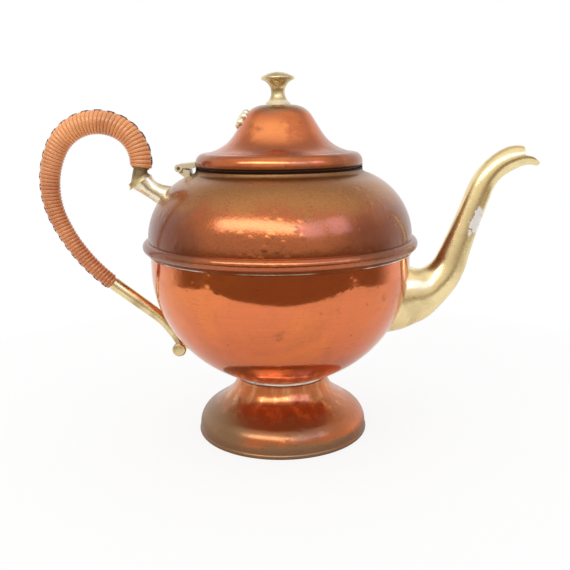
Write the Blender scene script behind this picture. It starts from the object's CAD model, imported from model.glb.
import math

import bpy
import numpy as np
from bpy.props import FloatProperty, FloatVectorProperty, IntProperty, PointerProperty
from mathutils import Matrix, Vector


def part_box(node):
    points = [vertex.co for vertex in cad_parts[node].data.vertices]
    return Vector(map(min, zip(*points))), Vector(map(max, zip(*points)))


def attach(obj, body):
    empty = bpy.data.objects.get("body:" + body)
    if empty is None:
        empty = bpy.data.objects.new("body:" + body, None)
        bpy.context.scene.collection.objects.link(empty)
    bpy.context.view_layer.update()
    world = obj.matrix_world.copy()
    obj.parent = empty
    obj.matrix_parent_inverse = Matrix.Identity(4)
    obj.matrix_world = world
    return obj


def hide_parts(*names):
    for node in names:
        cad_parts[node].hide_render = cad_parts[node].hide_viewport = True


bl_info = {
    "name": "Copper Coffee Pot",
    "version": (1, 0, 0),
    "blender": (4, 5, 0),
    "location": "View3D > Sidebar > Coffee Pot",
    "description": "Dresses the packed coffee pot in spun copper, cast brass and wound cane",
    "category": "Add Mesh",
}

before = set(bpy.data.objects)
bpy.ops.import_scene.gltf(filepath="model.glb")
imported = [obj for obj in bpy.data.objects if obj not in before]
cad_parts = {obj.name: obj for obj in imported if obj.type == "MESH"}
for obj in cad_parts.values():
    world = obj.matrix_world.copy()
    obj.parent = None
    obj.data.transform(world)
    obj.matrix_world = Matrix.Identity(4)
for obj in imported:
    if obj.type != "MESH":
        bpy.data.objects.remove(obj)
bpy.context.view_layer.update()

MM = 0.001
ACROSS = np.array([0.0, 1.0, 0.0])
TURNS = 224                     # steps round a spun piece
FINE = 0.8 * MM                 # longest step along an outline


def low(node):
    """Lowest corner of a node's box in the frame."""
    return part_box(node)[0]


def high(node):
    """Highest corner of a node's box in the frame."""
    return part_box(node)[1]


# Sizes and finishes

def length(name, description, default):
    return FloatProperty(name=name, description=description, default=default, unit="LENGTH", precision=4)


def angle(name, description, degrees):
    return FloatProperty(name=name, description=description, default=math.radians(degrees), subtype="ANGLE")


def share(name, description, default):
    return FloatProperty(name=name, description=description, default=default, subtype="FACTOR", min=0, max=1)


def colour(name, description, default):
    return FloatVectorProperty(name=name, description=description, default=default, subtype="COLOR",
                               size=3, min=0, max=1)


class PotSizes(bpy.types.PropertyGroup):
    """Sizes of the pot's pieces"""

    sheet: length("Sheet", "Thickness of the spun copper", 1.0 * MM)
    bowl_radius: length("Bowl radius", "Outside of the lower bowl", high("lower_bowl").x)
    bowl_waist: length("Bowl waist", "Height at which the bowl is widest", 100.0 * MM)
    bowl_base: length("Bowl base", "Height of the underside of the bowl", low("lower_bowl").z)
    bowl_top: length("Bowl top", "Height of the bowl's edge inside the seam", high("lower_bowl").z)
    strainer_hole: length("Strainer hole", "Radius of a strainer hole", 2.25 * MM)
    strainer_pitch: length("Strainer pitch", "Ring of holes round the middle one", 7.5 * MM)
    strainer_height: length("Strainer height", "Height of the middle hole", 78.95 * MM)
    bead_radius: length("Bead", "Radius of the bead over the seam", 3.2 * MM)
    bead_height: length("Bead height", "Height of the bead's middle", 113.4 * MM)
    shoulder_curve: length("Shoulder curve", "Radius of the shoulder's outline", 38.4 * MM)
    mouth_radius: length("Mouth", "Outside of the mouth's collar", 47.2 * MM)
    collar_curve: length("Collar curve", "Radius of the hollow under the collar", 2.5 * MM)
    foot_roll: length("Foot roll", "Radius of the foot's rolled rim", 1.6 * MM)
    foot_flat: length("Foot flat", "How deep the roll is lapped flat", 0.3 * MM)
    foot_neck: length("Foot neck", "Radius of the foot's neck", 26.7 * MM)
    solder_width: length("Solder", "Width of the solder between foot and bowl", 1.5 * MM)
    lid_crown: length("Crown", "Corner of the lid's crown", 15.2 * MM)
    lid_waist: length("Lid waist", "Corner of the lid's hollow flank", 28.7 * MM)
    lid_waist_rise: length("Lid waist rise", "That corner above the rim", 11.7 * MM)
    lid_brim: length("Brim", "Width of the lid's brim", 7.0 * MM)
    lid_brim_rise: length("Brim rise", "Crease of the brim above the rim", 7.6 * MM)
    lid_rim_rise: length("Rim rise", "Top of the brim above the rim", 8.0 * MM)
    lid_rim_curve: length("Rim curve", "Radius of the brim's round", 5.4 * MM)
    knob_waist: length("Knob waist", "Radius of the knob's stem", 3.8 * MM)
    handle_leg: length("Handle leg", "Bare leg of the handle under the cane", 8.8 * MM)
    cane_thickness: length("Cane", "Thickness of the cane strand", 1.4 * MM)
    cane_turns: IntProperty(name="Cane turns", description="Turns of cane round the handle", default=76)


class PotFinishes(bpy.types.PropertyGroup):
    """Colours of the pot's finishes"""

    bowl_copper: colour("Bowl copper", "Bright copper of the bowl", (0.77, 0.205, 0.075))
    golden_copper: colour("Golden copper", "Golden clouds on the bowl", (0.88, 0.26, 0.062))
    shoulder_copper: colour("Shoulder copper", "Browned copper of the shoulder", (0.47, 0.128, 0.040))
    lid_copper: colour("Lid copper", "Warm copper of the lid", (0.62, 0.170, 0.060))
    foot_copper: colour("Foot copper", "Darker copper of the foot", (0.56, 0.160, 0.055))
    brown_patina: colour("Brown patina", "Brown where copper has aged", (0.26, 0.085, 0.035))
    olive_patina: colour("Olive patina", "Olive where copper has aged most", (0.43, 0.180, 0.050))
    deep_copper: colour("Deep copper", "Dark red low on the shoulder", (0.20, 0.042, 0.012))
    rubbed: colour("Rubbed copper", "Copper rubbed bright by hands", (1.0, 0.34, 0.115))
    streak: colour("Streak", "Pale streaks on the foot", (1.0, 0.55, 0.26))
    stone_patina: colour("Stone patina", "Greyish olive low on the foot", (0.27, 0.155, 0.080))
    grime: colour("Grime", "Dirt in the creases", (0.022, 0.012, 0.008))
    bright_brass: colour("Bright brass", "Polished brass of the spout", (0.94, 0.77, 0.42))
    pale_brass: colour("Pale brass", "Nearly white brass of the hinge and the bracket", (0.95, 0.86, 0.64))
    dull_brass: colour("Dull brass", "Tarnished brass", (0.36, 0.25, 0.125))
    tin: colour("Tin", "Solder and worn plating", (0.94, 0.92, 0.89))
    cane: colour("Cane", "Lacquered cane", (0.62, 0.195, 0.060))
    cane_gold: colour("Golden cane", "Cane where the lacquer is palest", (0.98, 0.43, 0.16))
    cane_dark: colour("Dark cane", "Stained cane and its gaps", (0.12, 0.035, 0.014))
    floor: colour("Floor", "Pale table", (0.93, 0.93, 0.925))
    backdrop: colour("Backdrop", "White behind the pot", (1.0, 1.0, 1.0))
    room_floor: colour("Room floor", "Dark floor beyond the table", (0.28, 0.20, 0.12))
    room_wall: colour("Room wall", "Wall before the pot", (0.80, 0.74, 0.66))
    room_ceiling: colour("Room ceiling", "Bright ceiling before the pot", (1.0, 0.95, 0.88))
    room_dark: colour("Room dark", "Dim ceiling behind the pot", (0.60, 0.56, 0.52))


class PotStudio(bpy.types.PropertyGroup):
    """Light and camera"""

    lens: FloatProperty(name="Lens", description="Focal length over the width of the picture", default=1.3234)
    camera_side: length("Camera side", "Camera along X", 1.87 * MM)
    camera_back: length("Camera back", "Camera before the pot", 433.43 * MM)
    camera_height: length("Camera height", "Camera above the table", 181.71 * MM)
    pitch: angle("Pitch", "How far the camera looks down", 12.271)
    yaw: angle("Yaw", "How far the camera looks aside", 0.075)
    roll: angle("Roll", "How far the camera leans", 0.787)
    table_front: length("Table front", "Table's edge before the pot", 0.258)
    table_side: length("Table side", "Table's edges beside the pot", 0.44)
    table_back: length("Table back", "Table's edge behind the pot", 0.60)
    ambient: share("Ambient", "Strength of the even light", 0.72)
    table_white: share("Table white", "How far the table is drawn towards white in the picture", 0.86)


# Plane outlines, each an array of radius and height

def arc(centre, radius, start, end, count=24):
    """Points of a circle's arc from one angle to another, in degrees."""
    turn = np.radians(np.linspace(start, end, count))
    return np.array(centre) + radius * np.stack([np.cos(turn), np.sin(turn)], axis=1)


def circle(count):
    """Angles of one full turn in even steps, without the last, which is the first again."""
    return np.linspace(0, 2 * math.pi, count, endpoint=False)


def joined(*runs):
    """Runs of points end to end, without the points that repeat."""
    points = np.concatenate([np.asarray(run, float).reshape(-1, 2) for run in runs])
    step = np.linalg.norm(np.diff(points, axis=0), axis=1)
    return points[np.concatenate([[True], step > 1e-7])]


def rounded(points, radii):
    """Outline through corners, each replaced by the arc that touches both of its sides."""
    points = np.asarray(points, float)
    runs = [points[:1]]
    for before, corner, after, radius in zip(points, points[1:], points[2:], radii):
        back = (before - corner) / np.linalg.norm(before - corner)
        ahead = (after - corner) / np.linalg.norm(after - corner)
        half = math.acos(float(np.clip(back @ ahead, -1, 1))) / 2
        centre = corner + (back + ahead) / np.linalg.norm(back + ahead) * (radius / math.sin(half))
        first = corner + back * (radius / math.tan(half)) - centre
        last = corner + ahead * (radius / math.tan(half)) - centre
        begin = math.degrees(math.atan2(first[1], first[0]))
        sweep = math.degrees(math.atan2(first[0] * last[1] - first[1] * last[0], first @ last))
        runs.append(arc(centre, radius, begin, begin + sweep))
    return joined(*runs, points[-1:])


def even(points, step=FINE):
    """Outline with points added on its straight sides, so that none is longer than a step."""
    gaps = np.linalg.norm(np.diff(points, axis=0), axis=1)
    count = np.maximum(1, np.ceil(gaps / step)).astype(int)
    where = np.concatenate([np.arange(n) / n + i for i, n in enumerate(count)] + [[len(gaps)]])
    index = np.arange(len(points))
    return np.stack([np.interp(where, index, points[:, k]) for k in range(2)], axis=1)


def sideways(points):
    """Unit vectors to the right of an outline: the way along it, turned a quarter round."""
    way = np.gradient(points, axis=0)
    way /= np.linalg.norm(way, axis=1, keepdims=True)
    return np.stack([way[:, 1], -way[:, 0]], axis=1)


def sheet_outline(points, thickness):
    """Closed outline of a sheet: the outside, then the same curve moved inwards and run back."""
    outer = even(points)
    inner = outer + sideways(outer) * thickness
    inner[:, 0] = np.maximum(inner[:, 0], 0)
    edge = (outer[-1] + inner[-1]) / 2
    return np.concatenate([outer, [edge], inner[::-1]])


# Meshes

def faces_of(rows, columns, wrap_rows, wrap_columns):
    """Quads of a grid of points, as four corner numbers each."""
    i = np.arange(rows if wrap_rows else rows - 1)
    j = np.arange(columns if wrap_columns else columns - 1)
    i, j = np.meshgrid(i, j, indexing="ij")
    up = (i + 1) % rows
    on = (j + 1) % columns
    quads = [i * columns + j, up * columns + j, up * columns + on, i * columns + on]
    return np.stack(quads, axis=-1).reshape(-1, 4)


def outward(points, quads):
    """Quads turned so that the closed surface has a positive volume."""
    a, b, c, d = (points[quads[:, k]] for k in range(4))
    volume = np.einsum("ij,ij->", a, np.cross(b, c)) + np.einsum("ij,ij->", a, np.cross(c, d))
    return quads if volume > 0 else quads[:, ::-1]


def shell(grid, wrap_rows=False, wrap_columns=True):
    """Points and outward quads of one closed surface given as a grid of points."""
    rows, columns, _ = grid.shape
    points = grid.reshape(-1, 3)
    return points, outward(points, faces_of(rows, columns, wrap_rows, wrap_columns))


def piece(name, *shells, sharp=35.0, values=None):
    """Object made of closed surfaces, its doubled points merged, smooth but for its sharp edges."""
    points = np.concatenate([s[0] for s in shells])
    starts = np.cumsum([0] + [len(s[0]) for s in shells[:-1]])
    quads = np.concatenate([s[1] + start for s, start in zip(shells, starts)])
    _, first, same = np.unique(np.round(points / (1e-3 * MM)).astype(np.int64), axis=0,
                               return_index=True, return_inverse=True)
    quads = same.reshape(-1)[quads]
    kept = points[first]
    mesh = bpy.data.meshes.new(name)
    doubled = quads == np.roll(quads, 1, axis=1)
    whole = quads[~doubled.any(axis=1)]
    pole = doubled.sum(axis=1) == 1
    kept_corner = ~doubled[pole]
    corners = quads[pole][kept_corner].reshape(-1, 3)
    loops = whole.tolist() + corners.tolist()
    mesh.from_pydata(kept.tolist(), [], loops)
    for key, data in (values or {}).items():
        held = mesh.attributes.new(key, "FLOAT", "POINT")
        held.data.foreach_set("value", np.asarray(data, np.float32).reshape(-1)[first])
    mesh.validate()
    mesh.polygons.foreach_set("use_smooth", np.ones(len(mesh.polygons), bool))
    mesh.set_sharp_from_angle(angle=math.radians(sharp))
    mesh.update()
    made = bpy.data.objects.new(name, mesh)
    bpy.context.scene.collection.objects.link(made)
    return made


def turned(outline, turns=TURNS):
    """Surface of revolution: each radius and height of an outline carried round the Z axis."""
    turn = circle(turns)
    radius, height = outline[:, 0][:, None], outline[:, 1][:, None]
    ring = np.ones_like(turn)[None, :]
    return np.stack([radius * np.cos(turn), radius * np.sin(turn), height * ring], axis=-1)


def place(made, body, node, finish):
    """Puts a new piece in the frame: its finish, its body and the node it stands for."""
    made.data.materials.append(finish)
    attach(made, body)
    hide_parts(node)
    return made


def dress(node, finish):
    """Gives a node of the frame a finish."""
    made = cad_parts[node]
    if not made.material_slots:
        made.data.materials.append(finish)
    for held in made.material_slots:
        held.material = finish
    made.modifiers.new("smooth_shading", "NODES").node_group = smooth_shading()


def smooth_shading():
    """Node group that joins loose faces and shades them smooth, but for edges over 30 degrees."""
    tree = bpy.data.node_groups.get("smooth_shading")
    if tree:
        return tree
    tree = bpy.data.node_groups.new("smooth_shading", "GeometryNodeTree")
    tree.interface.new_socket("Geometry", in_out="INPUT", socket_type="NodeSocketGeometry")
    tree.interface.new_socket("Geometry", in_out="OUTPUT", socket_type="NodeSocketGeometry")
    nodes = Nodes(tree)
    loose = nodes.node("NodeGroupInput")
    joint = nodes.node("GeometryNodeMergeByDistance", None, {"Geometry": loose, "Distance": 2e-6})
    shade = "GeometryNodeSetShadeSmooth"
    faces = nodes.node(shade, {"domain": "FACE"}, {0: joint, 2: True})
    soft = nodes.node("GeometryNodeInputMeshEdgeAngle").math("LESS_THAN", math.radians(30.0))
    edges = nodes.node(shade, {"domain": "EDGE"}, {0: faces, 2: soft})
    nodes.node("NodeGroupOutput", None, {0: edges})
    return tree


# Paths in the pot's middle plane

class Path:
    """Straight runs and tangent arcs in the middle plane, read at distances along them."""

    def __init__(self, start, heading):
        self.rows = []
        self.end = np.array(start, float)
        self.heading = math.radians(heading)
        self.length = 0.0

    def add(self, run, turn=0.0):
        """Adds a run so long, straight or turning evenly through so many degrees."""
        bend = math.radians(turn) / run
        self.rows.append((self.length, self.end[0], self.end[1], self.heading, bend))
        self.length += run
        point, _, _ = self.at(np.array([self.length]))
        self.end = point[0, [0, 2]]
        self.heading += math.radians(turn)

    def bend(self, radius, turn):
        """Adds an arc of a radius through so many degrees."""
        self.add(radius * math.radians(abs(turn)), turn)

    def at(self, distance):
        """Points, directions ahead and directions to the left.

        On an arc of curvature k the heading grows by k times the distance, and the point moves by
        the difference of the heading's sine and cosine over k.
        """
        rows = np.array(self.rows)
        row = rows[np.clip(np.searchsorted(rows[:, 0], distance, side="right") - 1, 0, len(rows) - 1)]
        run = distance - row[:, 0]
        bend = np.where(np.abs(row[:, 4]) < 1e-9, 1e-6, row[:, 4])
        now = row[:, 3] + bend * run
        x = row[:, 1] + (np.sin(now) - np.sin(row[:, 3])) / bend
        z = row[:, 2] + (np.cos(row[:, 3]) - np.cos(now)) / bend
        none = np.zeros_like(x)
        ahead = np.stack([np.cos(now), none, np.sin(now)], axis=1)
        left = np.stack([-np.sin(now), none, np.cos(now)], axis=1)
        return np.stack([x, none, z], axis=1), ahead, left

    def curvature(self, distance):
        """Turn to the metre at distances along the path."""
        rows = np.array(self.rows)
        return rows[np.clip(np.searchsorted(rows[:, 0], distance, side="right") - 1, 0, len(rows) - 1), 4]


def eased(places, values, where):
    """Smooth curve through values that overshoots none of them.

    The slope at a place is the harmonic mean of the slopes beside it, or nothing where they differ
    in sign, and a cubic joins one place to the next.
    """
    places, values = np.asarray(places, float), np.asarray(values, float)
    width = np.diff(places)
    slope = np.diff(values) / width
    before, after = slope[:-1], slope[1:]
    level = before * after <= 0
    mean = 2 * before * after / np.where(level, 1, before + after)
    tangent = np.concatenate([slope[:1], np.where(level, 0, mean), slope[-1:]])
    step = np.clip(np.searchsorted(places, where, side="left") - 1, 0, len(slope) - 1)
    part = (where - places[step]) / width[step]
    rise = part * part * (3 - 2 * part)
    value = values[step] * (1 - rise) + values[step + 1] * rise
    value = value + width[step] * tangent[step] * part * (1 - part) ** 2
    return value - width[step] * tangent[step + 1] * part * part * (1 - part)


def crossing(distance, level):
    """First distance in each column at which a level turns positive, read between the rows."""
    found = level > 0
    row = np.where(found.any(axis=0), found.argmax(axis=0), len(distance) - 1)
    row = np.maximum(row, 1)
    column = np.arange(level.shape[1])
    here, there = level[row - 1, column], level[row, column]
    part = np.clip(np.where(found.any(axis=0), -here / np.where(there == here, 1, there - here), 1), 0, 1)
    return distance[row - 1] + part * (distance[row] - distance[row - 1])


# Finishes

class Field:
    """One socket of a node tree, with arithmetic that adds Math nodes."""

    def __init__(self, nodes, socket):
        self.nodes = nodes
        self.socket = socket

    def math(self, operation, other=0.0, turned=False):
        """This field and another value under one operation, or the other way round."""
        pair = [other, self] if turned else [self, other]
        return self.nodes.node("ShaderNodeMath", {"operation": operation}, pair)

    def __add__(self, other):
        return self.math("ADD", other)

    def __sub__(self, other):
        return self.math("SUBTRACT", other)

    def __rsub__(self, other):
        return self.math("SUBTRACT", other, turned=True)

    def __mul__(self, other):
        return self.math("MULTIPLY", other)

    def __pow__(self, other):
        return self.math("POWER", other)

    def over(self, other):
        """The greater of this field and another value."""
        return self.math("MAXIMUM", other)

    __radd__ = __add__
    __rmul__ = __mul__


class Nodes:
    """Node tree with short ways to add its nodes and link them."""

    def __init__(self, tree):
        self.tree = tree
        tree.nodes.clear()

    def node(self, kind, settings=None, sockets=(), output=0):
        """Any node: its settings first, then the values or links of its sockets."""
        made = self.tree.nodes.new(kind)
        for key, value in (settings or {}).items():
            setattr(made, key, value)
        for key, value in (sockets.items() if isinstance(sockets, dict) else enumerate(sockets)):
            self.put(made.inputs[key], value)
        return Field(self, made.outputs[output]) if made.outputs else None

    def put(self, socket, value):
        """Links a field to a socket, or sets the socket's own value."""
        if isinstance(value, Field):
            self.tree.links.new(value.socket, socket)
        else:
            socket.default_value = value

    def between(self, value, start, end):
        """Nothing below one value, all above another, eased between them."""
        return self.node("ShaderNodeMapRange", {"interpolation_type": "SMOOTHSTEP", "clamp": True},
                         {"Value": value, "From Min": start, "From Max": end, "To Min": 0.0, "To Max": 1.0})

    def band(self, value, start, end, soft):
        """All between two values, eased over a soft edge at each."""
        rise = self.between(value, start - soft, start + soft)
        return rise * (1 - self.between(value, end - soft, end + soft))

    def mix(self, part, first, second):
        """Colours mixed by a part."""
        made = self.tree.nodes.new("ShaderNodeMix")
        made.data_type = "RGBA"
        for key, value in ((0, part), (6, first), (7, second)):
            self.put(made.inputs[key], value if isinstance(value, (Field, float)) else rgba(value))
        return Field(self, made.outputs[2])


class Finish(Nodes):
    """One material, with a Principled shader and the nodes that vary it."""

    def __init__(self, name, metallic=1.0):
        self.material = bpy.data.materials.new(name)
        self.material.use_nodes = True
        super().__init__(self.material.node_tree)
        self.shader = self.tree.nodes.new("ShaderNodeBsdfPrincipled")
        self.out = self.tree.nodes.new("ShaderNodeOutputMaterial")
        self.tree.links.new(self.shader.outputs[0], self.out.inputs["Surface"])
        self.shader.inputs["Metallic"].default_value = metallic
        self.spot = self.node("ShaderNodeTexCoord", output="Object")

    def set(self, **values):
        """Feeds the shader's sockets by their names, and gives the material."""
        for key, value in values.items():
            self.put(self.shader.inputs[key.replace("_", " ").title()], value)
        return self.material

    def stretched(self, scale, turn=(0.0, 0.0, 0.0)):
        """Object coordinates, stretched and turned."""
        return self.node("ShaderNodeMapping", None, {"Vector": self.spot, "Rotation": turn, "Scale": scale})

    def noise(self, scale, detail=4.0, rough=0.55, warp=0.0, where=None):
        """Clouds from nothing to one: waves to a metre, octaves, strength of the fine ones, and a swirl."""
        return self.node("ShaderNodeTexNoise", {"noise_dimensions": "3D"}, {
            "Vector": where or self.spot, "Scale": scale, "Detail": detail, "Roughness": rough,
            "Distortion": warp})

    def cells(self, scale):
        """Distance to the nearest of scattered points, so many to a metre each way."""
        return self.node("ShaderNodeTexVoronoi", {"feature": "F1"}, {"Vector": self.spot, "Scale": scale},
                         output="Distance")

    def axis(self, index):
        """Object coordinate: 0 along the spout, 1 to the back, 2 up."""
        return self.node("ShaderNodeSeparateXYZ", None, [self.spot], output=index)

    def across(self):
        """Distance from the pot's axis."""
        return (self.axis(0) * self.axis(0) + self.axis(1) * self.axis(1)) ** 0.5

    def named(self, attribute):
        """Value that the mesh holds at its points."""
        return self.node("ShaderNodeAttribute", {"attribute_name": attribute}, output="Fac")

    def bump(self, height, strength, depth):
        """Normal bent by a field of heights."""
        return self.node("ShaderNodeBump", None, {"Height": height, "Strength": strength, "Distance": depth})


def rgba(tint):
    """A colour with full cover."""
    return (*tint[:3], 1.0)


def scaled(tint, factor):
    """A colour made darker or lighter."""
    return tuple(min(1.0, part * factor) for part in tint)


def copper(name, bright, rough, dents, cloudy=0.4, aged=None, marked=None, dirty=None, worn=None, coat=0.25):
    """Spun copper: clouds of patina, rings from the lathe, dark specks, shallow dents and dirty creases.

    The four functions take the finish. aged and dirty give a mask, marked gives a mask and the colour
    under it, and worn gives masks and colours that are laid over the tint in turn.
    """
    finishes = bpy.context.scene.coffee_pot_finishes
    brown = finishes.brown_patina
    made = Finish(name)
    clouds = made.noise(22.0, 5.0, 0.6, 0.6) * 0.6 + made.noise(85.0, 6.0, 0.65) * 0.4

    def ragged(mask, depth):
        """A mask whose edges are broken up by the clouds."""
        return made.between(mask + (clouds - 0.5) * depth, 0.1, 0.9)

    patina = made.between(clouds, 0.42, 0.70) * cloudy
    if aged:
        patina = patina.over(ragged(aged(made), 2.2))
    tint = made.mix(patina, bright, brown)
    if marked:
        mask, under = marked(made)
        mark = ragged(mask, 2.6)
        tint = made.mix(mark, tint, under)
        patina = patina.over(mark)
    ring = made.noise(1.0, 3.0, 0.6, where=made.stretched((18.0, 18.0, 2600.0)))
    tint = made.mix(made.between(ring, 0.45, 0.75) * 0.14, tint, scaled(brown, 1.15))
    speck = made.between(made.noise(420.0, 2.0, 0.5), 0.70, 0.78)
    scratch = made.noise(1.0, 4.0, 0.6, where=made.stretched((110.0, 110.0, 1900.0)))
    scratch = made.between(scratch, 0.60, 0.70) * made.between(made.noise(38.0, 2.0, 0.5), 0.48, 0.62)
    scuff = made.between(made.noise(64.0, 6.0, 0.7), 0.62, 0.74)
    tint = made.mix(speck.over(scratch).over(scuff * 0.7) * 0.55, tint, scaled(brown, 0.5))
    fleck = made.between(made.noise(820.0, 3.0, 0.6), 0.48, 0.64)
    tint = made.mix(fleck * (dents * 0.35), tint, brown)
    for mask, under in (worn(made) if worn else []):
        tint = made.mix(mask, tint, under)
    gloss = made.noise(60.0, 5.0, 0.6) * rough * 0.7 + patina * 0.13 + ring * 0.03 + rough
    if dirty:
        dirt = dirty(made)
        tint = made.mix(dirt, tint, finishes.grime)
        gloss = gloss + dirt * 0.3
        coat = (1 - dirt) * coat
    struck = made.between(made.noise(26.0, 2.0, 0.5), 0.36, 0.62)
    pit = (1 - made.between(made.cells(190.0), 0.10, 0.46)) * struck
    grain = made.noise(760.0, 3.0, 0.6)
    height = made.noise(34.0, 2.0, 0.5) + pit * (dents * 0.65) + grain * (dents * 0.16) + ring * 0.012
    made.set(base_color=tint, roughness=gloss, normal=made.bump(height, 0.35, 0.9 * MM), coat_weight=coat)
    made.shader.inputs["Coat Roughness"].default_value = 0.12
    return made.material


def brass(name, bright, dull, aged, rough, worn=None):
    """Cast brass: rubbed bright, tarnished in clouds, with fine file marks and pits.

    worn takes the finish and gives a mask and the colour under it.
    """
    made = Finish(name)
    clouds = made.noise(70.0, 5.0, 0.62, 0.4)
    patina = made.between(clouds, 0.40, 0.72) * aged
    grain = made.noise(900.0, 3.0, 0.6)
    tint = made.mix(patina, bright, dull)
    speck = made.between(made.noise(600.0, 2.0, 0.5), 0.69, 0.77)
    tint = made.mix(speck * 0.5, tint, scaled(dull, 0.4))
    gloss = clouds * 0.1 + patina * 0.2 + grain * 0.05 + rough
    if worn:
        bare, under = worn(made)
        tint = made.mix(bare, tint, under)
        gloss = gloss + bare * 0.3
    height = made.noise(120.0, 3.0, 0.5) + grain * 0.06
    made.set(base_color=tint, roughness=gloss, normal=made.bump(height, 0.3, 0.3 * MM))
    return made.material


# Operators

class PotOperator:
    """Operator that makes its pieces from the scene's sizes and finishes"""

    bl_options = {"REGISTER", "UNDO"}

    def execute(self, context):
        self.make(context.scene.coffee_pot_sizes, context.scene.coffee_pot_finishes)
        return {"FINISHED"}


class COFFEEPOT_OT_stage(bpy.types.Operator):
    """Makes the camera, the pale table, the white surround and the soft lights"""

    bl_idname = "coffeepot.stage"
    bl_label = "Stage"

    def execute(self, context):
        studio = context.scene.coffee_pot_studio
        self.camera(context.scene, studio)
        self.table(studio, context.scene.coffee_pot_finishes)
        self.surround(context.scene, studio, context.scene.coffee_pot_finishes)
        self.lights()
        context.scene.view_settings.view_transform = "Standard"
        return {"FINISHED"}

    def camera(self, scene, studio):
        """Camera before the pot, turned aside, then down, then on its side."""
        data = bpy.data.cameras.new("camera")
        data.sensor_width = 36.0
        data.lens = data.sensor_width * studio.lens
        data.clip_start = 0.01
        made = bpy.data.objects.new("camera", data)
        turn = (Matrix.Rotation(-studio.yaw, 4, "Z") @ Matrix.Rotation(math.pi / 2 - studio.pitch, 4, "X")
                @ Matrix.Rotation(-studio.roll, 4, "Z"))
        spot = Matrix.Translation((studio.camera_side, -studio.camera_back, studio.camera_height))
        made.matrix_world = spot @ turn
        scene.collection.objects.link(made)
        scene.camera = made

    def table(self, studio, finishes):
        """Slab: a level rectangle of points and the same one lower down, joined round their edges."""
        thick = 4 * MM
        clear, white_out = 0.14, 0.34       # from the pot's axis, where the picture turns to plain white
        x = np.array([-1, -1, 1, 1]) * studio.table_side
        y = np.array([-studio.table_front, studio.table_back, studio.table_back, -studio.table_front])
        reach = np.array([0.0, 1.0, 1.0, 0.0])[:, None]
        height = np.array([0.0, 0.0, -thick, -thick])[:, None]
        made = piece("table", shell(np.stack([reach * x, reach * y, height + 0 * x], axis=-1)))
        finish = Finish("pale_table", metallic=0.0)
        grain = finish.noise(9.0, 4.0, 0.6)
        tint = finish.mix(grain * 0.25, finishes.floor, scaled(finishes.floor, 0.97))
        finish.set(base_color=tint, roughness=0.75)
        far = finish.between(finish.across(), clear, white_out).over(studio.table_white)
        seen = finish.node("ShaderNodeLightPath", output="Is Camera Ray") * far
        white = finish.node("ShaderNodeEmission", None, {"Color": rgba(finishes.backdrop), "Strength": 1.0})
        matt = Field(finish, finish.shader.outputs[0])
        blend = finish.node("ShaderNodeMixShader", None, [seen, matt, white])
        finish.put(finish.out.inputs["Surface"], blend)
        made.data.materials.append(finish.material)

    def surround(self, scene, studio, finishes):
        """White round the pot; mirrors also meet a room before it, with a dark floor and a bright ceiling."""
        world = bpy.data.worlds.new("surround")
        world.use_nodes = True
        scene.world = world
        nodes = Nodes(world.node_tree)
        way = nodes.node("ShaderNodeTexCoord", output="Generated")
        back = nodes.node("ShaderNodeSeparateXYZ", None, [way], output=1)
        up = nodes.node("ShaderNodeSeparateXYZ", None, [way], output=2)
        # up is the sine of a direction's height, and back is how far it points away from the camera
        room = nodes.mix(nodes.between(up, -0.12, 0.02), finishes.room_floor, finishes.room_wall)
        room = nodes.mix(nodes.between(up, 0.55, 0.85), room, finishes.room_ceiling)
        card = nodes.mix(nodes.between(up, 0.45, 0.75), finishes.backdrop, finishes.room_dark)
        card = nodes.mix(nodes.between(back, -0.05, 0.45), room, card)
        light = "ShaderNodeLightPath"
        seen = nodes.node(light, output="Is Camera Ray").over(nodes.node(light, output="Is Transmission Ray"))
        soft = scaled(finishes.backdrop, studio.ambient)
        tint = nodes.mix(nodes.node(light, output="Is Glossy Ray"), soft, card)
        tint = nodes.mix(seen, tint, finishes.backdrop)
        shade = nodes.node("ShaderNodeBackground", None, {"Color": tint, "Strength": 1.0})
        nodes.node("ShaderNodeOutputWorld", None, {"Surface": shade})

    def lights(self):
        """Flat lamps, turned round the pot's middle and raised; power is radiance times pi times area."""
        aim = Matrix.Translation((0, 0, 100 * MM))
        rows = (
            # name, azimuth, elevation, distance, width, height, radiance, colour, in gloss, on matt faces
            ("top_light", 0.0, 85.0, 1.6, 1.8, 1.8, 0.9, (1.0, 0.99, 0.97), False, True),
            ("left_window", -22.0, 40.0, 1.5, 1.80, 0.42, 4.0, (0.90, 1.0, 1.0), True, False),
            ("middle_pane", 28.0, 32.0, 1.5, 0.50, 0.56, 3.0, (0.32, 0.42, 0.90), True, False),
            ("right_pane", 55.0, 32.0, 1.5, 0.50, 0.56, 3.0, (0.32, 0.42, 0.90), True, False),
            ("left_fill", -42.0, 38.0, 1.5, 0.80, 0.30, 3.4, (1.0, 0.95, 0.90), False, True),
        )
        for name, azimuth, elevation, distance, width, height, radiance, tint, glossy, matt in rows:
            data = bpy.data.lights.new(name, "AREA")
            data.shape = "RECTANGLE"
            data.size = width
            data.size_y = height
            data.energy = radiance * math.pi * width * height
            data.color = tint
            made = bpy.data.objects.new(name, data)
            turn = (Matrix.Rotation(math.radians(azimuth), 4, "Z")
                    @ Matrix.Rotation(math.radians(90.0 - elevation), 4, "X"))
            made.matrix_world = aim @ turn @ Matrix.Translation((0, 0, distance))
            made.visible_glossy = glossy
            made.visible_diffuse = matt
            bpy.context.scene.collection.objects.link(made)


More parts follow.
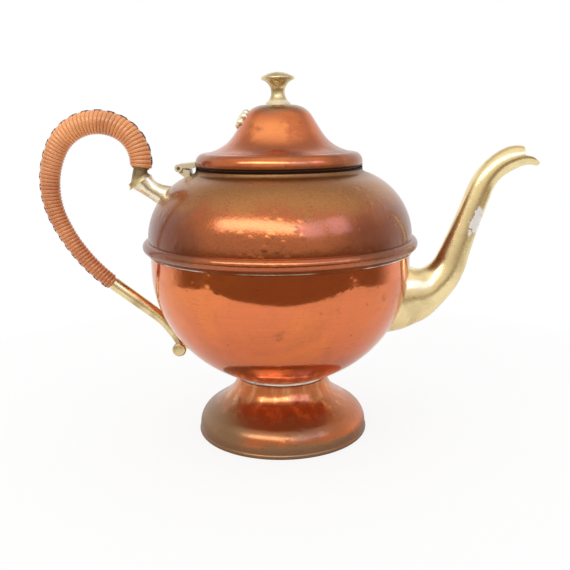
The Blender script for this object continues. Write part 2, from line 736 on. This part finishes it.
class COFFEEPOT_OT_bowl(PotOperator, bpy.types.Operator):
    """Makes the lower bowl, pierced behind the spout"""

    bl_idname = "coffeepot.bowl"
    bl_label = "Lower Bowl"

    def make(self, sizes, finishes):
        """Quarter of an ellipse up to the waist and a straight side above it, both skins, carried round."""
        steps = 90
        runs = []
        for inset, order in ((0.0, 1), (sizes.sheet, -1)):
            turn = np.radians(np.linspace(-90, 0, steps))
            radius = sizes.bowl_radius - inset
            depth = sizes.bowl_waist - sizes.bowl_base - inset
            curve = np.stack([radius * np.cos(turn), sizes.bowl_waist + depth * np.sin(turn)], axis=1)
            curve[0, 0] = 0
            side = even(np.array([[radius, sizes.bowl_waist], [radius, sizes.bowl_top]]))
            runs.append(joined(curve, side)[::order])
        made = piece("bowl", shell(turned(np.concatenate(runs))))
        self.pierce(made, sizes)
        seam = low("upper_shoulder").z

        def dirty(finish):
            """A dark line under the skirt of the shoulder."""
            return finish.between(finish.axis(2), seam - 0.9 * MM, seam - 0.1 * MM) * 0.8

        def worn(finish):
            """Faint golden clouds and a few small dark stains."""
            cloud = finish.between(finish.noise(26.0, 5.0, 0.65, 0.8), 0.42, 0.68)
            stain = 1 - finish.between(finish.cells(46.0), 0.05, 0.20)
            stain = stain * finish.between(finish.noise(260.0), 0.42, 0.60)
            return [(cloud * 0.5, finishes.golden_copper), (stain * 0.6, finishes.brown_patina)]

        finish = copper("polished_copper", finishes.bowl_copper, rough=0.05, dents=0.2, cloudy=0.3,
                        dirty=dirty, worn=worn)
        place(made, "pot", "lower_bowl", finish)

    def pierce(self, made, sizes):
        """Cuts the strainer: a round hole and a ring of six, all along X behind the spout."""
        ring_holes, hole_steps = 6, 40
        near, far = 0.7, 1.05               # ends of a hole, as shares of the bowl's radius
        turn = np.radians(np.arange(ring_holes) * 360.0 / ring_holes)
        across = np.concatenate([[0], np.cos(turn)]) * sizes.strainer_pitch
        rise = np.concatenate([[0], np.sin(turn)]) * sizes.strainer_pitch + sizes.strainer_height
        ring = circle(hole_steps)
        reach = np.array([near, near, far, far])[:, None] * sizes.bowl_radius
        radius = np.array([0.0, 1.0, 1.0, 0.0])[:, None] * sizes.strainer_hole
        holes = []
        for y, z in zip(across, rise):
            grid = np.stack([reach + 0 * ring, y + radius * np.cos(ring), z + radius * np.sin(ring)], axis=-1)
            holes.append(shell(grid))
        cutter = piece("strainer", *holes)
        cut = made.modifiers.new("strainer", "BOOLEAN")
        cut.object = cutter
        cut.solver = "EXACT"
        whole = made.evaluated_get(bpy.context.evaluated_depsgraph_get())
        mesh = bpy.data.meshes.new_from_object(whole)
        made.modifiers.clear()
        made.data = mesh
        mesh.set_sharp_from_angle(angle=math.radians(35.0))
        bpy.data.objects.remove(cutter)


class COFFEEPOT_OT_shoulder(PotOperator, bpy.types.Operator):
    """Makes the shoulder: mouth, bead and skirt of one sheet"""

    bl_idname = "coffeepot.shoulder"
    bl_label = "Upper Shoulder"

    def make(self, sizes, finishes):
        """Hollow collar, round shoulder, half-round bead and skirt, touching each other, carried round."""
        skirt = high("upper_shoulder").x - sizes.bead_radius
        base = sizes.bead_height + sizes.bead_radius
        centre = np.array([skirt - sizes.shoulder_curve, base])
        reach = sizes.shoulder_curve + sizes.collar_curve
        collar_x = sizes.mouth_radius + sizes.collar_curve
        collar_z = base + math.sqrt(reach ** 2 - (collar_x - centre[0]) ** 2)
        lean = math.degrees(math.atan2(collar_z - base, collar_x - centre[0]))
        outline = joined(
            [[sizes.mouth_radius, high("upper_shoulder").z]],
            arc((collar_x, collar_z), sizes.collar_curve, 180, 180 + lean, 12),
            arc(centre, sizes.shoulder_curve, lean, 0, 60),
            arc((skirt, sizes.bead_height), sizes.bead_radius, 90, -90, 28),
            [[skirt, low("upper_shoulder").z]],
        )
        made = piece("shoulder", shell(turned(sheet_outline(outline, sizes.sheet)), wrap_rows=True))
        top = high("upper_shoulder").z
        edge = low("upper_shoulder").z
        crease = base - 2 * sizes.bead_radius

        def marked(finish):
            """Olive over the upper half."""
            return finish.between(finish.axis(2), top - 27 * MM, top - 9 * MM) * 0.9, finishes.olive_patina

        def aged(finish):
            """Brown low on both flanks."""
            reach = finish.axis(0).math("ABSOLUTE")
            return finish.between(reach, 20 * MM, 66 * MM)

        def dirty(finish):
            """The collar under the lid, and the crease below the bead."""
            height = finish.axis(2)
            shade = finish.between(height, top - 6 * MM, top - 2.5 * MM) * 0.4
            collar = finish.between(height, top - 1.7 * MM, top - 0.9 * MM).over(shade)
            lower = finish.band(height, crease - 0.5 * MM, crease, 0.3 * MM)
            return collar.over(lower * 0.55)

        def worn(finish):
            """Deep red low on the flanks, and tin that shows along the skirt's edge."""
            height = finish.axis(2)
            stray = (finish.noise(48.0, 4.0, 0.6) - 0.5) * (50 * MM)
            reach = (finish.axis(0) + 8 * MM).math("ABSOLUTE") + stray
            deep = finish.band(height, base, base + 16 * MM, 5 * MM) * finish.between(reach, 22 * MM, 52 * MM)
            line = 1 - finish.between(height, edge + 0.25 * MM, edge + 0.6 * MM)
            line = line * finish.between(finish.noise(30.0, 3.0, 0.6), 0.40, 0.55)
            return [(deep * 0.75, finishes.deep_copper), (line, finishes.tin)]

        finish = copper("patinated_copper", finishes.shoulder_copper, rough=0.15, dents=1.0, aged=aged,
                        marked=marked, dirty=dirty, worn=worn, coat=0.5)
        place(made, "pot", "upper_shoulder", finish)


class COFFEEPOT_OT_foot(PotOperator, bpy.types.Operator):
    """Makes the pedestal foot with its rolled rim, and the solder under the bowl"""

    bl_idname = "coffeepot.foot"
    bl_label = "Foot and Solder"

    def make(self, sizes, finishes):
        """Neck, flare and wall, rounded where they meet, with a roll lapped flat below, carried round."""
        waist_drop = 4.1 * MM               # corner of the waist below the bowl's base
        flare_rise = 10.2 * MM              # corner of the flare above the roll's middle
        waist_curve, flare_curve = 16.0 * MM, 13.0 * MM
        lap = 0.6                           # wall's end above the roll's middle, as a share of its radius
        roll_start, roll_end = 52, -225     # degrees round the roll
        roll_z = sizes.foot_roll - sizes.foot_flat
        roll_x = high("foot").x - sizes.foot_roll
        wall_x = roll_x + sizes.sheet
        depth = sizes.bowl_waist - sizes.bowl_base
        neck_z = sizes.bowl_waist - depth * math.sqrt(1 - (sizes.foot_neck / sizes.bowl_radius) ** 2)
        outer = even(rounded([
            (sizes.foot_neck, neck_z),
            (sizes.foot_neck, sizes.bowl_base - waist_drop),
            (wall_x, roll_z + flare_rise),
            (wall_x, roll_z + sizes.foot_roll * lap),
        ], [waist_curve, flare_curve]))
        inner = outer + sideways(outer) * sizes.sheet
        sunk = math.degrees(math.asin(1 - sizes.foot_flat / sizes.foot_roll))
        roll = joined(arc((roll_x, roll_z), sizes.foot_roll, roll_start, -sunk, 22),
                      arc((roll_x, roll_z), sizes.foot_roll, sunk - 180, roll_end, 22))
        made = piece("foot", shell(turned(np.concatenate([outer, roll, inner[::-1]])), wrap_rows=True))

        def marked(finish):
            """Greyish olive over the lower rim, and higher on the side away from the spout."""
            height = finish.axis(2)
            rim = 1 - finish.between(height, 4 * MM, 11 * MM)
            side = 1 - finish.between(finish.axis(0), -42 * MM, -6 * MM)
            side = side * (1 - finish.between(height, 12 * MM, 26 * MM))
            return (rim * 0.85).over(side), finishes.stone_patina

        def dirty(finish):
            """Dark under the solder."""
            return finish.between(finish.axis(2), neck_z - 2.8 * MM, neck_z - 1.2 * MM) * 0.75

        def aged(finish):
            """Brown round the waist."""
            return finish.band(finish.axis(2), 11 * MM, 20 * MM, 4 * MM) * 0.8

        def worn(finish):
            """Stone brown round the waist, brighter copper towards the spout, pale streaks up the neck."""
            height = finish.axis(2)
            waist = finish.band(height, 11 * MM, 25 * MM, 4 * MM)
            side = finish.between(finish.axis(0), 14 * MM, 40 * MM) * finish.between(height, 6 * MM, 10 * MM)
            streak = finish.noise(1.0, 3.0, 0.6, where=finish.stretched((150.0, 150.0, 9.0)))
            neck = finish.between(height, 15 * MM, 24 * MM) * finish.between(streak, 0.44, 0.68)
            return [(waist * 0.6, finishes.stone_patina), (side * 0.45, finishes.bowl_copper),
                    (neck * 0.4, finishes.streak)]

        finish = copper("foot_copper", finishes.foot_copper, rough=0.13, dents=0.5, aged=aged, marked=marked,
                        dirty=dirty, worn=worn, coat=0.1)
        place(made, "pot", "foot", finish)
        self.solder(sizes, finishes, neck_z)

    def solder(self, sizes, finishes, neck_z):
        """Lumpy ring: a flat oval whose size wavers with a sum of sines of the turn."""
        steps = 14
        out, up = 0.9, 0.75                 # half axes as shares of the solder's width
        drop = 0.25 * MM
        turn = circle(TURNS)[None, :]
        part = circle(steps)[:, None]
        swell = 0.86 + 0.07 * np.sin(5 * turn + 1.0) + 0.05 * np.sin(11 * turn) + 0.02 * np.sin(23 * turn)
        radius = sizes.foot_neck + sizes.solder_width * swell * np.cos(part) * out
        height = neck_z - drop + sizes.solder_width * up * swell * np.sin(part)
        grid = np.stack([radius * np.cos(turn), radius * np.sin(turn), height], axis=-1)
        made = piece("foot_solder", shell(grid, wrap_rows=True))
        finish = brass("tin_solder", finishes.tin, scaled(finishes.tin, 0.3), aged=0.9, rough=0.16)
        place(made, "pot", "foot_solder_ring", finish)


class COFFEEPOT_OT_lid(PotOperator, bpy.types.Operator):
    """Makes the bell lid"""

    bl_idname = "coffeepot.lid"
    bl_label = "Lid"

    def make(self, sizes, finishes):
        """Corners of a bell, each rounded into the next, given the sheet's thickness and carried round."""
        radius = high("lid").x
        base = low("lid").z
        crown = high("lid").z
        hole = 2.1 * MM
        draft = 0.2 * MM                    # how far the rim leans in
        crown_curve, flank_curve, crease_curve = 13.5 * MM, 24.0 * MM, 0.6 * MM
        outline = rounded([
            (hole, crown),
            (sizes.lid_crown, crown),
            (sizes.lid_waist, base + sizes.lid_waist_rise),
            (radius - sizes.lid_brim, base + sizes.lid_brim_rise),
            (radius, base + sizes.lid_rim_rise),
            (radius - draft, base),
        ], [crown_curve, flank_curve, crease_curve, sizes.lid_rim_curve])
        made = piece("lid_bell", shell(turned(sheet_outline(outline, sizes.sheet)), wrap_rows=True))

        def marked(finish):
            """Dull over the crown."""
            dull = scaled(finishes.stone_patina, 1.4)
            return finish.between(finish.axis(2), crown - 9 * MM, crown + 1 * MM) * 0.85, dull

        def dirty(finish):
            """Dark along the rim's lower edge."""
            return 1 - finish.between(finish.axis(2), base + 0.4 * MM, base + 1.5 * MM)

        def aged(finish):
            """Brown on both sides of the front and in the waist."""
            reach = (finish.axis(0) + 4 * MM).math("ABSOLUTE")
            waist = finish.band(finish.axis(2), base + 7 * MM, base + 11 * MM, 5 * MM)
            return (finish.between(reach, 8 * MM, 44 * MM) * 0.6).over(waist * 0.5)

        def worn(finish):
            """Copper rubbed bright on the front of the flank and of the brim, with ragged sides."""
            height = finish.axis(2)
            side = finish.axis(0) + (finish.noise(110.0, 5.0, 0.65) - 0.5) * (34 * MM)
            front = 1 - finish.between(finish.axis(1), -18 * MM, -8 * MM)
            flank = finish.band(height, base + 15 * MM, crown - 8 * MM, 4 * MM)
            brim = finish.band(height, base + 1.5 * MM, base + 7 * MM, 1.5 * MM)
            patch = finish.band(side, -13 * MM, 5 * MM, 5 * MM) * front * flank.over(brim * 0.3)
            return [(patch * 0.85, finishes.rubbed)]

        finish = copper("lid_copper", finishes.lid_copper, rough=0.12, dents=0.3, aged=aged, marked=marked,
                        dirty=dirty, worn=worn)
        place(made, "lid_body", "lid", finish)
        dark = scaled(finishes.brown_patina, 0.5)
        dress("lid_flange", copper("flange_copper", dark, rough=0.3, dents=0.2, cloudy=0.6))


class COFFEEPOT_OT_knob(PotOperator, bpy.types.Operator):
    """Makes the turned knob and finishes its washer and nut"""

    bl_idname = "coffeepot.knob"
    bl_label = "Knob"

    def make(self, sizes, finishes):
        """Shank, seat, two hollow arcs that meet at the waist, curled rim and low dome, carried round."""
        crown = high("lid").z
        foot = low("knob").z
        top = high("knob").z
        rim = high("knob").x
        turns = 128
        curl = 1.1 * MM
        base_z = crown + 1.2 * MM
        rim_z = crown + 14.4 * MM
        waist_z = crown + 6.6 * MM
        shank = 2.0 * MM
        seat = 6.9 * MM
        stem = 6.4 * MM
        over = np.array([rim - curl, rim_z + curl])
        rise = top - over[1]
        ball = (over[0] ** 2 + rise ** 2) / (2 * rise)
        lean = math.degrees(math.asin(over[0] / ball))
        outline = joined(
            [[0, foot], [shank, foot], [shank, crown], [seat, crown], [seat, base_z]],
            self.hollow((stem, base_z), (sizes.knob_waist, waist_z)),
            self.hollow((rim - curl, rim_z - curl), (sizes.knob_waist, waist_z))[::-1],
            arc((rim - curl, rim_z), curl, -90, 90, 16),
            arc((0, top - ball), ball, 90 - lean, 90, 24),
        )
        outline[-1, 0] = 0
        made = piece("lid_knob", shell(turned(even(outline, FINE / 2), turns)), sharp=40.0)

        def worn(finish):
            """Rubbed pale at the foot of the stem."""
            return 1 - finish.between(finish.axis(2), crown + 1.5 * MM, crown + 3.5 * MM), finishes.pale_brass

        bright = scaled(finishes.bright_brass, 0.82)
        finish = brass("turned_brass", bright, finishes.dull_brass, aged=0.85, rough=0.2, worn=worn)
        place(made, "lid_body", "knob", finish)
        dress("knob_washer", finish)
        dress("knob_nut", finish)

    def hollow(self, end, waist):
        """Arc from one end of the stem that is upright where it reaches the waist."""
        out = end[0] - waist[0]
        radius = (out ** 2 + (end[1] - waist[1]) ** 2) / (2 * out)
        lean = math.degrees(math.atan2(end[1] - waist[1], end[0] - waist[0] - radius))
        return arc((waist[0] + radius, waist[1]), radius, lean % 360, 180, 20)


class COFFEEPOT_OT_spout(PotOperator, bpy.types.Operator):
    """Makes the cast spout with its short upper lip and drooping lower lip"""

    bl_idname = "coffeepot.spout"
    bl_label = "Spout"

    def make(self, sizes, finishes):
        """Ovals along a path of runs and arcs, trimmed by the bowl and by the mouth's edge, both skins."""
        wall = 1.25 * MM
        path = Path((50.4 * MM, 76.4 * MM), 10.5)
        path.add(26.9 * MM)                 # root
        path.bend(29.8 * MM, 59.3)
        path.add(44.1 * MM)                 # rise
        path.bend(30.5 * MM, -45.6)
        path.bend(17.5 * MM, -58.2)         # lip
        bend, rise, curve, lip = (row[0] for row in path.rows[1:])
        places = [0, 14 * MM, bend, (bend + rise) / 2, rise, (rise + curve) / 2, curve, (curve + lip) / 2,
                  lip, path.length]
        heights = np.array([40.0, 40.0, 35.3, 22.9, 18.3, 14.9, 13.9, 13.2, 13.5, 6.4]) * MM
        widths = np.array([30.0, 30.0, 27.5, 20.0, 16.4, 14.2, 13.4, 13.2, 13.8, 9.4]) * MM
        distance = np.linspace(0, path.length, 900)
        turn = circle(96)
        full, _, _ = path.at(np.array([lip]))
        tip, _, _ = path.at(np.array([path.length]))

        def surface(where, inset):
            """Ovals square to the path, their height and width eased between stations."""
            flat = where.reshape(-1)
            point, _, left = path.at(flat)
            tall = (eased(places, heights, flat) / 2 - inset)[:, None] * left
            wide = (eased(places, widths, flat) / 2 - inset)[:, None] * ACROSS
            around = np.broadcast_to(turn, where.shape).reshape(-1)[:, None]
            return (point + tall * np.cos(around) + wide * np.sin(around)).reshape(*where.shape, 3)

        def mouth(points):
            """How far points are past the mouth's edge: down the upper lip, along the bowed lower one."""
            corner = full[0] + [7.4 * MM, 0, 1.9 * MM]
            drop = bow = 1.6 * MM
            lean = 0.2 / 11.6               # of the upper lip's end
            droop = tip[0] - [0, 0, drop]
            x, z = points[..., 0], points[..., 2]
            part = np.clip((x - corner[0]) / (droop[0] - corner[0]), 0, 1)
            edge = corner[2] + (droop[2] - corner[2]) * part + 4 * bow * part * (1 - part)
            return np.minimum(z - edge, x - corner[0] - lean * np.maximum(z - corner[2], 0))

        def clear(points):
            """How far points are outside the bowl, as a share of its radius."""
            x, y, z = points[..., 0], points[..., 1], points[..., 2]
            depth = sizes.bowl_waist - sizes.bowl_base
            drop = np.minimum(z - sizes.bowl_waist, 0) / depth
            return np.sqrt((x * x + y * y) / sizes.bowl_radius ** 2 + drop * drop) - 1

        sunk = 0.5 * MM                     # how far the root runs into the bowl's wall
        before = 4 * MM                     # where the mouth's edge is looked for, before the lip
        rows = np.linspace(0, 1, 150)[:, None]
        skins = []
        every = np.broadcast_to(distance[:, None], (len(distance), len(turn)))
        for inset in (0.0, wall):
            points = surface(every, inset)
            begin = crossing(distance, clear(points)) - sunk
            end = crossing(distance, np.where(every > lip - before, mouth(points), -1.0))
            skins.append(surface(begin + rows * (end - begin), inset))
        part = np.linspace(0, 1, 6)[1:-1, None, None]
        edge = skins[0][-1:] * (1 - part) + skins[1][-1:] * part
        grid = np.concatenate([skins[0], edge, skins[1][::-1]])
        made = piece("spout_cast", shell(grid, wrap_rows=True), sharp=50.0)

        def worn(finish):
            """Narrow patch along the rise where the plating has gone, with ragged edges."""
            spot = finish.node("ShaderNodeMapping", {"vector_type": "TEXTURE"}, {
                "Vector": finish.spot, "Location": (112 * MM, -6 * MM, 124 * MM),
                "Rotation": (0.0, math.radians(20.0), 0.0), "Scale": (3.6 * MM, 7 * MM, 7.5 * MM)})
            near = finish.node("ShaderNodeVectorMath", {"operation": "LENGTH"}, [spot], output="Value")
            ragged = near + (finish.noise(240.0, 4.0, 0.6) - 0.5) * 2.6
            return 1 - finish.between(ragged, 0.75, 0.95), finishes.tin

        finish = brass("spout_brass", finishes.bright_brass, finishes.dull_brass, aged=0.3, rough=0.17,
                       worn=worn)
        place(made, "pot", "spout", finish)


class COFFEEPOT_OT_fittings(PotOperator, bpy.types.Operator):
    """Finishes the rosette, the hinge and the brass of the handle"""

    bl_idname = "coffeepot.fittings"
    bl_label = "Brass Fittings"

    def make(self, sizes, finishes):
        dull = finishes.dull_brass
        small = brass("fitting_brass", finishes.pale_brass, dull, aged=0.3, rough=0.34)
        pale = brass("bracket_brass", finishes.pale_brass, dull, aged=0.5, rough=0.18)
        pin = brass("pin_brass", scaled(dull, 0.8), finishes.grime, aged=0.6, rough=0.3)

        def worn(finish):
            """Tarnish left on the short leg between the bracket and the cane."""
            return finish.between(finish.axis(2), 146 * MM, 154 * MM) * 0.8, scaled(dull, 0.5)

        bright = scaled(finishes.bright_brass, 0.92)
        cast = brass("handle_brass", bright, dull, aged=0.8, rough=0.18, worn=worn)
        for node in ("lid_rosette", "rosette_rivet", "hinge_lid_leaf", "hinge_pot_leaf"):
            dress(node, small)
        for node in ("handle_bracket", "bracket_dowel"):
            dress(node, pale)
        dress("handle_bar", cast)
        dress("hinge_pin", pin)


def handle_path(sizes):
    """Path of the handle's core: up from the bracket's mitre, over the loop and down to the winding's end."""
    base = sizes.bead_height + sizes.bead_radius
    centre = high("upper_shoulder").x - sizes.bead_radius - sizes.shoulder_curve
    root = 67.5 * MM                        # where the bracket stands on the shoulder
    sunk = 4.5 * MM                         # its path's start inside that
    rise = math.sqrt(sizes.shoulder_curve ** 2 - (root - centre) ** 2)
    bracket = Path((sunk - root, base + rise), 155.0)
    bracket.add(9.5 * MM)
    bracket.bend(16.0 * MM, -30.0)
    point, _, left = bracket.at(np.array([bracket.length]))
    mitre = point[0] + left[0] * 2.8 * MM
    path = Path((mitre[0], mitre[2]), 80.0)
    path.add(sizes.handle_leg)
    for radius, turn in ((21.8, 73.0), (26.2, 90.0), (47.9, 50.0), (95.0, 29.0)):
        path.bend(radius * MM, turn)
    return path


def strip(middle, tall, wide, count):
    """Oval section along a path: its middle, one half axis by the cosine of a turn, the other by its sine."""
    part = circle(count)[None, :, None]
    return middle[:, None, :] + np.cos(part) * tall[:, None, :] + np.sin(part) * wide[:, None, :]


class COFFEEPOT_OT_cane(PotOperator, bpy.types.Operator):
    """Winds the cane round the loop of the handle and weaves in its runner"""

    bl_idname = "coffeepot.cane"
    bl_label = "Cane"

    def make(self, sizes, finishes):
        path = handle_path(sizes)
        start = sizes.handle_leg
        span = path.length - start
        across = np.array([12.6, 13.6, 12.0, 9.8, 8.8]) * MM
        stations = np.arange(len(across))

        def outside(where):
            """Radius over the cane, eased between even stations."""
            return eased(stations, across, (where - start) / span * stations[-1]) / 2

        self.winding(sizes, finishes, path, start, span, outside)
        self.runner(finishes, path, start, span, outside)

    def winding(self, sizes, finishes, path, start, span, outside):
        """Strand carried along a helix round the bent core; its section is an oval as wide as the pitch."""
        count = sizes.cane_turns
        steps = 36                          # to a turn
        margin = 0.004                      # of the span, left free at each end
        taper = 9                           # the strand swells over a ninth of a turn
        turns = np.linspace(0, count, count * steps + 1)
        where = start + span * (margin + (1 - 2 * margin) * turns / count)
        point, _, left = path.at(where)
        radius = outside(where) - sizes.cane_thickness / 2
        swing = 2 * math.pi * turns
        out = left * np.cos(swing)[:, None] + ACROSS * np.sin(swing)[:, None]
        middle = point + out * radius[:, None]
        way = np.gradient(middle, axis=0)
        way /= np.linalg.norm(way, axis=1, keepdims=True)
        side = np.cross(out, way)
        side /= np.linalg.norm(side, axis=1, keepdims=True)
        room = span / count * (1 - path.curvature(where) * radius * np.cos(swing))
        swell = np.minimum(1, np.minimum(turns, count - turns) * taper)[:, None]
        grid = strip(middle, out * swell * sizes.cane_thickness / 2, side * swell * room[:, None] / 2, 10)
        turn = np.broadcast_to(turns[:, None], grid.shape[:2])
        made = piece("cane_wrap", shell(grid), sharp=80.0, values={"turn": turn})
        finish = Finish("lacquered_cane", metallic=0.0)
        strand = finish.node("ShaderNodeTexWhiteNoise", {"noise_dimensions": "1D"},
                             {"W": finish.named("turn").math("FLOOR")})
        fibre = finish.noise(500.0, 3.0, 0.6)
        pale = finish.between(finish.noise(28.0, 3.0, 0.6) * 0.6 + finish.axis(2) * 2.4, 0.50, 0.86)
        tint = finish.mix(strand * 0.5, finishes.cane, scaled(finishes.cane, 0.72))
        tint = finish.mix(pale, tint, finishes.cane_gold)
        stain = finish.between(finish.noise(45.0, 4.0, 0.6), 0.56, 0.78)
        tint = finish.mix(stain * 0.25, tint, scaled(finishes.cane_dark, 2.0))
        tint = finish.mix(finish.between(fibre, 0.5, 0.75) * 0.3, tint, scaled(finishes.cane_gold, 1.1))
        finish.set(base_color=tint, roughness=fibre * 0.15 + 0.22, normal=finish.bump(fibre, 0.2, 0.15 * MM),
                   coat_weight=0.4)
        finish.shader.inputs["Coat Roughness"].default_value = 0.15
        place(made, "pot", "cane_winding", finish.material)

    def runner(self, finishes, path, start, span, outside):
        """Flat strip along the outer side, over the turns and under them in the manner of a sine."""
        margin = 0.012                      # of the span, left free at each end
        period = 5.8 * MM
        depth = 0.4 * MM
        sunk = 0.12 * MM
        half_width, half_thickness = 1.2 * MM, 0.25 * MM
        where = start + span * np.linspace(margin, 1 - margin, 900)
        point, _, left = path.at(where)
        lift = np.clip(0.2 + 1.2 * np.sin(2 * math.pi * where / period), -1, 0.35) * depth
        middle = point - left * (outside(where) - sunk + lift)[:, None]
        grid = strip(middle, left * half_thickness, ACROSS * half_width + 0 * left, 12)
        ends = middle[[0, -1], None, :].repeat(grid.shape[1], 1)
        made = piece("cane_weave", shell(np.concatenate([ends[:1], grid, ends[1:]])), sharp=80.0)
        finish = Finish("dark_cane", metallic=0.0)
        fibre = finish.noise(700.0, 3.0, 0.6)
        finish.set(base_color=finish.mix(fibre, finishes.cane_dark, scaled(finishes.cane_dark, 0.4)),
                   roughness=fibre * 0.2 + 0.3, normal=finish.bump(fibre, 0.3, 0.15 * MM))
        place(made, "pot", "cane_runner", finish.material)


OPERATORS = (
    COFFEEPOT_OT_stage,
    COFFEEPOT_OT_bowl,
    COFFEEPOT_OT_shoulder,
    COFFEEPOT_OT_foot,
    COFFEEPOT_OT_spout,
    COFFEEPOT_OT_lid,
    COFFEEPOT_OT_knob,
    COFFEEPOT_OT_fittings,
    COFFEEPOT_OT_cane,
)


class VIEW3D_PT_coffee_pot(bpy.types.Panel):
    """Lists the pot's pieces, sizes and finishes"""

    bl_label = "Coffee Pot"
    bl_space_type = "VIEW_3D"
    bl_region_type = "UI"
    bl_category = "Coffee Pot"

    def draw(self, context):
        for operator in OPERATORS:
            self.layout.operator(operator.bl_idname)
        for group in (context.scene.coffee_pot_sizes, context.scene.coffee_pot_finishes,
                      context.scene.coffee_pot_studio):
            box = self.layout.box()
            for key in group.__annotations__:
                box.prop(group, key)


CLASSES = (PotSizes, PotFinishes, PotStudio, *OPERATORS, VIEW3D_PT_coffee_pot)


def register():
    for each in CLASSES:
        bpy.utils.register_class(each)
    bpy.types.Scene.coffee_pot_sizes = PointerProperty(type=PotSizes)
    bpy.types.Scene.coffee_pot_finishes = PointerProperty(type=PotFinishes)
    bpy.types.Scene.coffee_pot_studio = PointerProperty(type=PotStudio)


def unregister():
    del bpy.types.Scene.coffee_pot_studio
    del bpy.types.Scene.coffee_pot_finishes
    del bpy.types.Scene.coffee_pot_sizes
    for each in reversed(CLASSES):
        bpy.utils.unregister_class(each)


def main():
    register()
    for operator in OPERATORS:
        group, name = operator.bl_idname.split(".")
        getattr(getattr(bpy.ops, group), name)()


if __name__ == "__main__":
    main()
